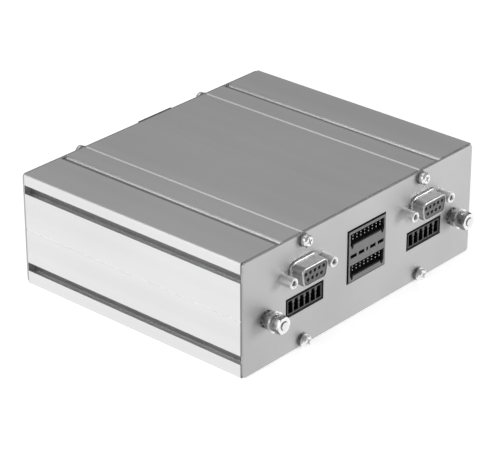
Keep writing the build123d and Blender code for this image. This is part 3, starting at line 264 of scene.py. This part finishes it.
# Chips. Black epoxy packages with a fine moulded grain, soldered to the two boards: the
# processor with its memory and logic, the transceivers, the drivers and the power transistors.
epoxy, tree, shader = finish("moulded_epoxy", (0.03, 0.03, 0.033), metallic=0.0, roughness=0.55)
moulding = grain(tree, 2600)
lay(tree, shader, colour=shades(tree, moulding, 0.024, 0.045),
    roughness=spread(tree, grain(tree, 200), 0.45, 0.65))
relief(tree, shader, moulding, depth=0.00002, strength=0.5)
dress(epoxy, "processor", "memory_chips", "logic_chips", "line_transceivers")
dress(epoxy, "power_transistors", "gate_drivers")

# Clock crystal, fuse clips and the brackets behind the sockets. Drawn or stamped thin steel with
# a satin tin layer, dull in patches, and a painted highlight on its edges.
tin_plate, tree, shader = finish("tin_plate", (0.72, 0.72, 0.71), metallic=1.0, roughness=0.34)
dulling = grain(tree, 240, detail=4)
tin_and_edge_highlight = mixed(tree, sharp_edges(tree, reach=0.0002), shades(tree, dulling, 0.62, 0.76), over=0.9)
lay(tree, shader, colour=tin_and_edge_highlight, roughness=spread(tree, dulling, 0.3, 0.44))
relief(tree, shader, grain(tree, 3000, stretch=(1, 0.2, 1)), depth=0.00001, strength=0.25)
dress(tin_plate, "clock_crystal", "fuse_clips", "left_socket_brackets", "right_socket_brackets")

# Shunts and inductor core. Pressed and sintered grey ceramic and ferrite, rough and slightly
# speckled. They sit on the upper board.
ferrite, tree, shader = finish("sintered_ferrite", (0.1, 0.1, 0.105), metallic=0.0, roughness=0.7)
speckle = grain(tree, 3400, detail=5)
lay(tree, shader, colour=shades(tree, speckle, 0.07, 0.14, at=(0.35, 0.65)),
    roughness=spread(tree, speckle, 0.6, 0.8))
relief(tree, shader, speckle, depth=0.00004, strength=0.6)
dress(ferrite, "current_shunts", "inductor_core")

# Inductor winding. Enamelled copper wire, wound in close turns round the core. The crests of the
# turns get a painted highlight and the gaps between them painted shade.
enamel, tree, shader = finish("enamelled_copper", (0.6, 0.26, 0.11), metallic=1.0, roughness=0.3)
place = tree.nodes.new("ShaderNodeTexCoord")
wire = tree.nodes.new("ShaderNodeTexWave")
wire.bands_direction = "Z"
wire.inputs["Scale"].default_value = 420
wire.inputs["Distortion"].default_value = 0.4
tree.links.new(place.outputs["Object"], wire.inputs["Vector"])
copper_crest_highlight_gap_shade = shades(tree, wire.outputs["Fac"], (0.3, 0.11, 0.04), (0.72, 0.34, 0.15), at=(0.0, 0.6))
lay(tree, shader, colour=copper_crest_highlight_gap_shade, roughness=spread(tree, grain(tree, 500), 0.24, 0.4))
relief(tree, shader, wire.outputs["Fac"], depth=0.00015, strength=0.8)
dress(enamel, "inductor_winding")

# Heat spreader. A milled aluminium bar between the thermal pad and the housing's top wall, with
# the cutter's marks along it.
milled, tree, shader = finish("milled_aluminium", (0.75, 0.75, 0.76), metallic=1.0, roughness=0.35)
cutter = grain(tree, 900, stretch=(0.03, 1, 1), detail=4)
lay(tree, shader, colour=shades(tree, cutter, 0.68, 0.82), roughness=spread(tree, cutter, 0.28, 0.42))
relief(tree, shader, cutter, depth=0.00002, strength=0.5)
dress(milled, "heat_spreader")

# Thermal pad. A soft sheet of grey-blue silicone, held only by being squeezed between the power
# transistors and the heat spreader.
silicone, tree, shader = finish("silicone_pad", (0.4, 0.43, 0.48), metallic=0.0, roughness=0.75)
pores = grain(tree, 1800, detail=4)
lay(tree, shader, colour=shades(tree, pores, (0.34, 0.37, 0.42), (0.44, 0.47, 0.53)),
    roughness=spread(tree, pores, 0.65, 0.85))
relief(tree, shader, pores, depth=0.00005, strength=0.5)
dress(silicone, "thermal_pad")

# Capacitor cans. Drawn aluminium in a dark shrink sleeve that leaves the top bare. They stand in
# a row on the upper board.
bare_rim = 0.0007
sleeve_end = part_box("bulk_capacitors")[1].z - bare_rim
sleeve_lip = 0.00005
sleeve, tree, shader = finish("capacitor_sleeve", (0.02, 0.022, 0.03), metallic=0.0, roughness=0.35)
bare = spread(tree, along(tree, "Z"), 0.0, 1.0, at=(sleeve_end - sleeve_lip, sleeve_end + sleeve_lip))
shrunk = shades(tree, grain(tree, 400), (0.014, 0.016, 0.024), (0.03, 0.032, 0.045))
can_top = shades(tree, grain(tree, 700), 0.6, 0.75)
lay(tree, shader, colour=mixed(tree, bare, shrunk, over=can_top),
    roughness=spread(tree, grain(tree, 300), 0.28, 0.42))
tree.links.new(bare, shader.inputs["Metallic"])
relief(tree, shader, grain(tree, 1500), depth=0.00002, strength=0.4)
dress(sleeve, "bulk_capacitors")

# Input fuse. A glass tube between two nickel-plated caps, which the two fuse clips hold over the
# upper board.
fuse_low, fuse_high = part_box("input_fuse")
fuse_middle = (fuse_low.y + fuse_high.y) / 2
glass_half = 0.005
fuse_tube, tree, shader = finish("fuse_tube", (0.8, 0.82, 0.82), metallic=0.0, roughness=0.12)
glass = reckon(tree, "LESS_THAN", away_from(tree, along(tree, "Y"), fuse_middle), glass_half)
caps = shades(tree, grain(tree, 900), 0.62, 0.8)
lay(tree, shader, colour=mixed(tree, glass, caps, over=(0.85, 0.88, 0.88)),
    roughness=spread(tree, grain(tree, 600), 0.08, 0.3))
tree.links.new(reckon(tree, "SUBTRACT", 1.0, glass), shader.inputs["Metallic"])
dress(fuse_tube, "input_fuse")

# Black mouldings: the stacked header's liners, the supply header and the strips between the
# boards. Glass-filled nylon with a fine spark-eroded grain.
black_nylon, tree, shader = finish("black_nylon", (0.012, 0.012, 0.012), metallic=0.0, roughness=0.5)
spark = grain(tree, 4200, detail=4)
# The edges get a painted highlight.
moulded_with_edge_highlight = mixed(tree, sharp_edges(tree, reach=0.00012), shades(tree, spark, 0.009, 0.018), over=0.05)
lay(tree, shader, colour=moulded_with_edge_highlight, roughness=spread(tree, grain(tree, 300), 0.42, 0.6))
relief(tree, shader, spark, depth=0.00002, strength=0.4)
dress(black_nylon, "stacked_header_shrouds", "supply_header", "board_link_header", "board_link_socket")

# Stacked header's body. A dull grey nylon moulding, with a painted highlight on the edges of its
# front face. Behind the face it is painted black as shade.
body_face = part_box("stacked_header_body")[0].y
# depths behind the front face over which the painted black shade comes in
depth_shade_span = (body_face + 0.00005, body_face + 0.0003)
grey_nylon, tree, shader = finish("grey_nylon", (0.17, 0.17, 0.17), metallic=0.0, roughness=0.55)
spark = grain(tree, 3600, detail=4)
grey_with_edge_highlight = mixed(tree, sharp_edges(tree, reach=0.00012), shades(tree, spark, 0.16, 0.2), over=0.26)
# Painted shade: everything behind the front face is painted black.
painted_depth_shade = spread(tree, along(tree, "Y"), 0.0, 1.0, at=depth_shade_span)
lay(tree, shader, colour=mixed(tree, painted_depth_shade, grey_with_edge_highlight, over=0.008),
    roughness=spread(tree, grain(tree, 260), 0.48, 0.64))
relief(tree, shader, spark, depth=0.00002, strength=0.4)
dress(grey_nylon, "stacked_header_body")

# Terminal headers. Near-black nylon mouldings, seated in the front plate. In front, the ribs and
# the lip round the cavity get a painted highlight as thin grey lines, and all that lies behind the
# front is painted black as shade.
left_low, left_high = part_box("left_terminal_header")
right_low, right_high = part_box("right_terminal_header")
between_headers = (left_low.x + right_high.x) / 2
header_offset = (right_low.x + right_high.x) / 2 - between_headers
header_mid_height = (left_low.z + left_high.z) / 2
# depths behind the front over which the painted black shade comes in
front_shade_span = (left_low.y + 0.0001, left_low.y + 0.0005)
lip_inset = 0.000525            # from the header's outside to the lip with the painted highlight
lip_half_width = (left_high.x - left_low.x) / 2 - lip_inset
lip_half_height = (left_high.z - left_low.z) / 2 - lip_inset
header_nylon, tree, shader = finish("header_nylon", (0.03, 0.03, 0.03), metallic=0.0, roughness=0.5)
spark = grain(tree, 3600, detail=4)
from_header = away_from(tree, away_from(tree, along(tree, "X"), between_headers), header_offset)
in_width = reckon(tree, "LESS_THAN", from_header, lip_half_width)
from_mid_height = away_from(tree, along(tree, "Z"), header_mid_height)
in_height = reckon(tree, "LESS_THAN", from_mid_height, lip_half_height)
# The lip and the ribs' fronts get a painted grey highlight.
lip_highlight_area = reckon(tree, "MULTIPLY", in_width, in_height)
nylon_with_lip_highlight = mixed(tree, lip_highlight_area, shades(tree, spark, 0.006, 0.014), over=0.15)
painted_depth_shade = spread(tree, along(tree, "Y"), 0.0, 1.0, at=front_shade_span)
lay(tree, shader, colour=mixed(tree, painted_depth_shade, nylon_with_lip_highlight, over=0.008),
    roughness=spread(tree, grain(tree, 260), 0.42, 0.6))
relief(tree, shader, spark, depth=0.00002, strength=0.4)
shader.inputs["Specular IOR Level"].default_value = 0.1
dress(header_nylon, "left_terminal_header", "right_terminal_header")

# Header and supply pins. Square drawn brass under a thin layer of tin. Their colour is painted darker
# than tin, as shade for the deep cavities they sit in.
tinned_pin, tree, shader = finish("tinned_pin", (0.75, 0.75, 0.72), metallic=1.0, roughness=0.3)
drawn = grain(tree, 1500, stretch=(1, 0.1, 1))
lay(tree, shader, colour=shades(tree, drawn, 0.3, 0.62), roughness=spread(tree, drawn, 0.24, 0.4))
dress(tinned_pin, "left_terminal_pins", "right_terminal_pins", "stacked_header_pins", "supply_pins")

# Nine-way sockets. A drawn shell with a raised rim, a grey insulator, gold-flashed contacts and
# two turned jack posts in satin nickel.
dull_nickel, tree, shader = finish("dull_nickel", (0.45, 0.45, 0.45), metallic=1.0, roughness=0.36)
stain = grain(tree, 420, stretch=(1, 0.4, 1), detail=4)
# The edges get a painted highlight.
shell_tone_and_edge_highlight = mixed(tree, sharp_edges(tree, reach=0.0003), shades(tree, stain, 0.42, 0.55), over=0.85)
lay(tree, shader, colour=shell_tone_and_edge_highlight, roughness=spread(tree, stain, 0.3, 0.44))
relief(tree, shader, grain(tree, 3000, stretch=(1, 0.2, 1)), depth=0.00001, strength=0.25)
dress(dull_nickel, "left_socket_shell", "right_socket_shell")

insulator, tree, shader = finish("socket_insulator", (0.12, 0.12, 0.125), metallic=0.0, roughness=0.5)
fill = grain(tree, 3000, detail=4)
# The edges get a painted highlight.
insulator_with_edge_highlight = mixed(tree, sharp_edges(tree, reach=0.0001), shades(tree, fill, 0.1, 0.14), over=0.2)
lay(tree, shader, colour=insulator_with_edge_highlight, roughness=spread(tree, grain(tree, 260), 0.42, 0.58))
relief(tree, shader, fill, depth=0.00002, strength=0.4)
dress(insulator, "left_socket_insulator", "right_socket_insulator")

gold, tree, shader = finish("gold_flash", (0.83, 0.62, 0.28), metallic=1.0, roughness=0.28)
flash = grain(tree, 1400)
lay(tree, shader, colour=shades(tree, flash, (0.7, 0.5, 0.2), (0.88, 0.68, 0.34)),
    roughness=spread(tree, flash, 0.22, 0.36))
dress(gold, "left_socket_contacts", "right_socket_contacts")

satin, tree, shader = finish("satin_nickel", (0.85, 0.85, 0.84), metallic=1.0, roughness=0.42)
wear = grain(tree, 700, stretch=(1, 0.3, 1), detail=4)
lay(tree, shader, colour=shades(tree, wear, 0.8, 0.88), roughness=spread(tree, wear, 0.37, 0.48))
relief(tree, shader, grain(tree, 5000), depth=0.000008, strength=0.3)
dress(satin, "left_jack_posts", "right_jack_posts")

# End plates. Punched aluminium sheet, finely blasted and anodised, with corners that are a little
# darker.
sheet_metal, tree, shader = finish("blasted_sheet", (0.62, 0.62, 0.63), metallic=0.85, roughness=0.46)
blast = grain(tree, 3800)
cloud = grain(tree, 30, detail=2)
sheet = mixed(tree, sharp_edges(tree, reach=0.00025), shades(tree, cloud, 0.455, 0.49), over=0.22)
lay(tree, shader, colour=sheet, roughness=spread(tree, blast, 0.42, 0.52))
relief(tree, shader, blast, depth=0.000015, strength=0.35)
dress(sheet_metal, "front_plate", "rear_plate")

# Plate screws with their washers, in the profile's ports. The pan heads are bright nickel with
# rounded crowns, and the washers under them are blued spring steel.
head_nickel, tree, shader = finish("bright_nickel", (0.9, 0.9, 0.89), metallic=1.0, roughness=0.3)
haze = grain(tree, 900)
lay(tree, shader, colour=shades(tree, haze, 0.86, 0.95), roughness=spread(tree, haze, 0.26, 0.38))
relief(tree, shader, grain(tree, 5000), depth=0.000008, strength=0.3)

blued, tree, shader = finish("blued_steel", (0.18, 0.18, 0.185), metallic=1.0, roughness=0.4)
film = grain(tree, 900, detail=4)
# The edges get a painted highlight.
oxide_and_edge_highlight = mixed(tree, sharp_edges(tree, reach=0.00012), shades(tree, film, 0.2, 0.3), over=0.5)
lay(tree, shader, colour=oxide_and_edge_highlight, roughness=spread(tree, film, 0.32, 0.5))
relief(tree, shader, film, depth=0.00001, strength=0.3)
dress(blued, "plate_flat_washers", "plate_lock_washers")


def rounded_copy(name, width, made):
    """A copy of a CAD node with its sharp edges rounded. It stands for the node."""
    merge_distance = 0.000001
    flat_angle = radians(2)
    sharp_angle = radians(30)
    smooth_angle = radians(40)
    bpy.ops.object.select_all(action="DESELECT")
    piece = bpy.data.objects.new(name + "_rounded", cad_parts[name].data.copy())
    bpy.context.collection.objects.link(piece)
    bpy.context.view_layer.objects.active = piece
    piece.select_set(True)
    bpy.ops.object.mode_set(mode="EDIT")
    bpy.ops.mesh.select_all(action="SELECT")
    bpy.ops.mesh.remove_doubles(threshold=merge_distance)
    bpy.ops.mesh.dissolve_limited(angle_limit=flat_angle)
    bpy.ops.object.mode_set(mode="OBJECT")
    rounding = piece.modifiers.new("rounding", "BEVEL")
    rounding.width = width
    rounding.segments = 3
    rounding.limit_method = "ANGLE"
    rounding.angle_limit = sharp_angle
    bpy.ops.object.modifier_apply(modifier="rounding")
    bpy.ops.object.shade_smooth_by_angle(angle=smooth_angle)
    piece.data.materials.clear()
    piece.data.materials.append(made)
    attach(piece, "root")
    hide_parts(name)


crown_rounding = 0.00028
rounded_copy("plate_screws", crown_rounding, head_nickel)

# Earth studs' nuts and washers, on both plates. The nuts are cut from cold-drawn hexagon bar and
# thinly nickelled. Their flats are painted dark as shade, with a painted highlight on their edges,
# and their turned ends are bright.
nut_steel, tree, shader = finish("nickelled_nut", (0.3, 0.3, 0.3), metallic=1.0, roughness=0.3)
draw_marks = grain(tree, 700, stretch=(1, 0.1, 1), detail=4)
faces_out = reckon(tree, "ABSOLUTE", along(tree, "Y", reading="Normal"))
turned_end = spread(tree, faces_out, 0.0, 1.0, at=(0.6, 0.95))
# The flats are painted dark as shade, with a painted highlight on their edges.
flats = mixed(tree, sharp_edges(tree, reach=0.0002), shades(tree, draw_marks, 0.3, 0.42), over=0.85)
lay(tree, shader, colour=mixed(tree, turned_end, flats, over=0.88),
    roughness=spread(tree, draw_marks, 0.24, 0.4))
relief(tree, shader, grain(tree, 5000), depth=0.00001, strength=0.3)
broken_edge = 0.00012
rounded_copy("stud_base_nuts", broken_edge, nut_steel)
rounded_copy("stud_outer_nuts", broken_edge, nut_steel)
dress(nut_steel, "stud_back_nuts")
dress(head_nickel, "stud_flat_washers")
dress(blued, "stud_tooth_washers", "stud_spring_washers")

# Earth studs. Steel rods with a rolled M4 thread, two in each plate. The sides are painted dark as
# shade in the thread, and the cut ends are bright.
thread_pitch = 0.0007
thread_turns = 20
crest_radius = 0.00198
root_radius = 0.0017
flank = thread_pitch / 2
thread_sides = 40
seam = 0.00001                  # corners nearer than this are merged
thread_steel, tree, shader = finish("rolled_thread", (0.5, 0.5, 0.5), metallic=1.0, roughness=0.32)
thread_shade_grain = grain(tree, 1600, detail=4)
faces_out = reckon(tree, "ABSOLUTE", along(tree, "Y", reading="Normal"))
cut_end = spread(tree, faces_out, 0.0, 1.0, at=(0.9, 0.97))
# The sides are painted dark as shade in the thread.
lay(tree, shader, colour=mixed(tree, cut_end, shades(tree, thread_shade_grain, 0.16, 0.34), over=0.8),
    roughness=spread(tree, thread_shade_grain, 0.26, 0.42))


def stud_axis(side, end):
    """Where the axis of a stud runs, from the CAD corners on its side and end of the object."""
    corners = [corner.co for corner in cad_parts["earth_studs"].data.vertices
               if corner.co.x * side > 0 and corner.co.y * end > 0]
    x = (min(at.x for at in corners) + max(at.x for at in corners)) / 2
    z = (min(at.z for at in corners) + max(at.z for at in corners)) / 2
    return Vector((x, 0, z))


left_front = stud_axis(-1, -1)
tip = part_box("earth_studs")[0].y
along_length = (radians(-90), 0, 0)
bpy.ops.object.select_all(action="DESELECT")
rising_middle = left_front + Vector((0, tip + flank / 2, 0))
bpy.ops.mesh.primitive_cone_add(vertices=thread_sides, radius1=root_radius, radius2=crest_radius,
                                depth=flank, end_fill_type="NOTHING",
                                location=rising_middle, rotation=along_length)
rising = bpy.context.object
falling_middle = left_front + Vector((0, tip + flank * 1.5, 0))
bpy.ops.mesh.primitive_cone_add(vertices=thread_sides, radius1=crest_radius, radius2=root_radius,
                                depth=flank, end_fill_type="NOTHING",
                                location=falling_middle, rotation=along_length)
threaded = bpy.context.object
rising.select_set(True)
bpy.ops.object.join()
bpy.ops.object.transform_apply(location=True, rotation=True, scale=True)
turns = threaded.modifiers.new("turns", "ARRAY")
turns.count = thread_turns
turns.use_relative_offset = False
turns.use_constant_offset = True
turns.constant_offset_displace = (0, thread_pitch, 0)
bpy.ops.object.modifier_apply(modifier="turns")
bpy.ops.object.mode_set(mode="EDIT")
bpy.ops.mesh.select_all(action="SELECT")
bpy.ops.mesh.remove_doubles(threshold=seam)
bpy.ops.mesh.fill_holes(sides=0)
bpy.ops.mesh.select_all(action="SELECT")
bpy.ops.mesh.normals_make_consistent(inside=False)
bpy.ops.object.mode_set(mode="OBJECT")

to_rear = Vector((0, -2 * tip - thread_turns * thread_pitch, 0))
rods = [threaded]
for step in (stud_axis(1, -1) - left_front, stud_axis(-1, 1) - left_front + to_rear,
             stud_axis(1, 1) - left_front + to_rear):
    bpy.ops.object.select_all(action="DESELECT")
    threaded.select_set(True)
    bpy.context.view_layer.objects.active = threaded
    bpy.ops.object.duplicate()
    bpy.ops.transform.translate(value=step)
    bpy.ops.object.transform_apply(location=True, rotation=True, scale=True)
    rods.append(bpy.context.object)
bpy.ops.object.select_all(action="DESELECT")
for rod in rods:
    rod.select_set(True)
bpy.context.view_layer.objects.active = threaded
bpy.ops.object.join()
threaded.name = "threaded_studs"
threaded.data.materials.append(thread_steel)
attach(threaded, "root")
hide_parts("earth_studs")

# Table. A white sheet that the object stands on, which stays white to the camera and in the
# metal and keeps a soft shadow.
table_size = 6
table_drop = 0.0002             # keeps the sheet clear of the housing's underside
camera_lift = 0.56              # added to the lit sheet, so that it comes out white
bpy.ops.object.select_all(action="DESELECT")
bpy.ops.mesh.primitive_plane_add(size=table_size, location=(0, 0, -table_drop))
table_top = bpy.context.object
table_top.name = "table_top"
white, tree, shader = finish("white_table", (0.86, 0.86, 0.86), metallic=0.0, roughness=0.8)
shader.inputs["Specular IOR Level"].default_value = 0.0
ray = tree.nodes.new("ShaderNodeLightPath")
pale = tree.nodes.new("ShaderNodeEmission")
tree.links.new(reckon(tree, "MULTIPLY", ray.outputs["Is Camera Ray"], camera_lift), pale.inputs["Strength"])
lit_sheet = tree.nodes.new("ShaderNodeAddShader")
tree.links.new(shader.outputs["BSDF"], lit_sheet.inputs[0])
tree.links.new(pale.outputs["Emission"], lit_sheet.inputs[1])
mirrored = tree.nodes.new("ShaderNodeEmission")
mirrored.inputs["Strength"].default_value = 1.0
blend = tree.nodes.new("ShaderNodeMixShader")
tree.links.new(ray.outputs["Is Glossy Ray"], blend.inputs["Fac"])
tree.links.new(lit_sheet.outputs["Shader"], blend.inputs[1])
tree.links.new(mirrored.outputs["Emission"], blend.inputs[2])
tree.links.new(blend.outputs["Shader"], tree.nodes["Material Output"].inputs["Surface"])
table_top.data.materials.append(white)

# Studio. A grey surround that the metal mirrors, seen as white by the camera, and three square
# soft boxes: low in front, at the left and overhead.
studio = bpy.data.worlds.new("studio")
bpy.context.scene.world = studio
studio.use_nodes = True
tree = studio.node_tree
surround = tree.nodes["Background"]
surround.inputs["Color"].default_value = painted(0.26)
backdrop = tree.nodes.new("ShaderNodeBackground")
backdrop.inputs["Color"].default_value = painted(1.0)
ray = tree.nodes.new("ShaderNodeLightPath")
blend = tree.nodes.new("ShaderNodeMixShader")
tree.links.new(ray.outputs["Is Camera Ray"], blend.inputs["Fac"])
tree.links.new(surround.outputs["Background"], blend.inputs[1])
tree.links.new(backdrop.outputs["Background"], blend.inputs[2])
tree.links.new(blend.outputs["Shader"], tree.nodes["World Output"].inputs["Surface"])


def lamp(name, place, size, power):
    """A square soft box that looks at the middle of the object."""
    middle = Vector((0, 0, 0.03))
    bpy.ops.object.light_add(type="AREA", location=place)
    made = bpy.context.object
    made.name = name
    made.data.size = size
    made.data.energy = power
    made.rotation_mode = "QUATERNION"
    made.rotation_quaternion = (Vector(place) - middle).to_track_quat("Z", "Y")


lamp("key_box", (0.7, -1.0, 0.25), size=0.5, power=9.0)
lamp("left_box", (-1.1, 0.1, 0.5), size=0.8, power=9.0)
lamp("top_box", (0.1, 0.3, 1.2), size=0.9, power=2.6)

# Camera. It stands at the photo's angle and distance, as they were found from the corners of the
# housing and the spacing of the jack posts.
azimuth = radians(-48.573)
elevation = radians(26.779)
distance = 0.981
target = Vector((-0.00029, 0, 0.02016))
back = Vector((sin(azimuth) * cos(elevation), -cos(azimuth) * cos(elevation), sin(elevation)))
bpy.ops.object.camera_add(location=target + back * distance)
camera = bpy.context.object
camera.rotation_mode = "QUATERNION"
camera.rotation_quaternion = back.to_track_quat("Z", "Y")
camera.data.sensor_width = 36
camera.data.lens = 163.27
camera.data.clip_start = 0.01
bpy.context.scene.camera = camera
bpy.context.scene.view_settings.view_transform = "Standard"
